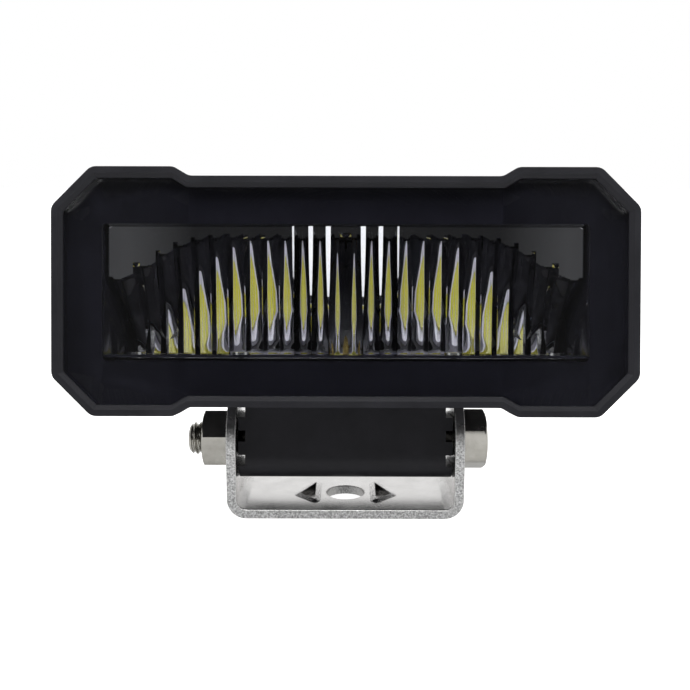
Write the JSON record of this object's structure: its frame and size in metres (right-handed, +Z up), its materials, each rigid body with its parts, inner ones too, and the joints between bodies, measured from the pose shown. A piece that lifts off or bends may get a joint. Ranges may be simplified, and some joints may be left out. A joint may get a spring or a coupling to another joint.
{
  "type": "led fog lamp",
  "caption": "Rectangular LED fog lamp with a stepped front flange and fluted reflector, tilting on a U-shaped steel bracket with a through bolt.",
  "frame": {"origin": "centre of the bracket's fixing hole, on the underside of its base", "axes": "+Z up, away from the mounting surface; -Y the way the lamp shines; +X along the hinge bolt, towards its head"},
  "size_m": [0.1214, 0.0535, 0.0804],
  "materials": {
    "bracket_steel": "satin stainless steel with sheared edges",
    "fastener_steel": "bright stainless steel",
    "black_powder_coat": "fine-textured matte black powder coat on die-cast aluminium",
    "clear_lens": "clear polished polycarbonate",
    "gloss_black": "glossy black plastic",
    "black_rubber": "black silicone rubber",
    "reflector_chrome": "vacuum-metallised mirror",
    "screw_steel": "bright zinc plate",
    "black_board": "black solder mask",
    "white_package": "white ceramic-filled plastic",
    "yellow_phosphor": "yellow phosphor silicone",
    "tinned_metal": "tinned terminals",
    "thermal_silicone": "grey silicone pad",
    "green_board": "green solder mask",
    "dark_ferrite": "dark ferrite",
    "capacitor_can": "bare aluminium can",
    "chip_black": "black moulding compound",
    "pin_brass": "gold-plated pins",
    "black_nylon": "black nylon",
    "vent_fabric": "white porous membrane"
  },
  "bodies": {
    "mount": {"bracket": "bracket_steel", "hinge_bolt": "fastener_steel", "hinge_nut": "fastener_steel"},
    "head": {"housing": "black_powder_coat", "lens": "clear_lens", "lens_border": "gloss_black", "lens_seal": "black_rubber", "inner_frame": "gloss_black", "reflector": "reflector_chrome", "reflector_screws": "screw_steel", "led_board": "black_board", "led_packages": "white_package", "led_phosphor": "yellow_phosphor", "board_screws": "screw_steel", "board_parts": "tinned_metal", "thermal_pad": "thermal_silicone", "driver_board": "green_board", "driver_coil": "dark_ferrite", "driver_capacitors": "capacitor_can", "driver_chips": "chip_black", "driver_screws": "screw_steel", "link_pins": "pin_brass", "gland_body": "black_nylon", "gland_nut": "black_nylon", "gland_seal": "black_rubber", "vent_body": "black_nylon", "vent_membrane": "vent_fabric", "vent_cap": "black_nylon"}
  },
  "joints": [
    {"name": "head_tilt", "type": "hinge", "parent": "mount", "child": "head", "pos_m": [0, 0, 0.016], "axis": [-1, 0, 0], "range_deg": [-50, 60]}
  ]
}
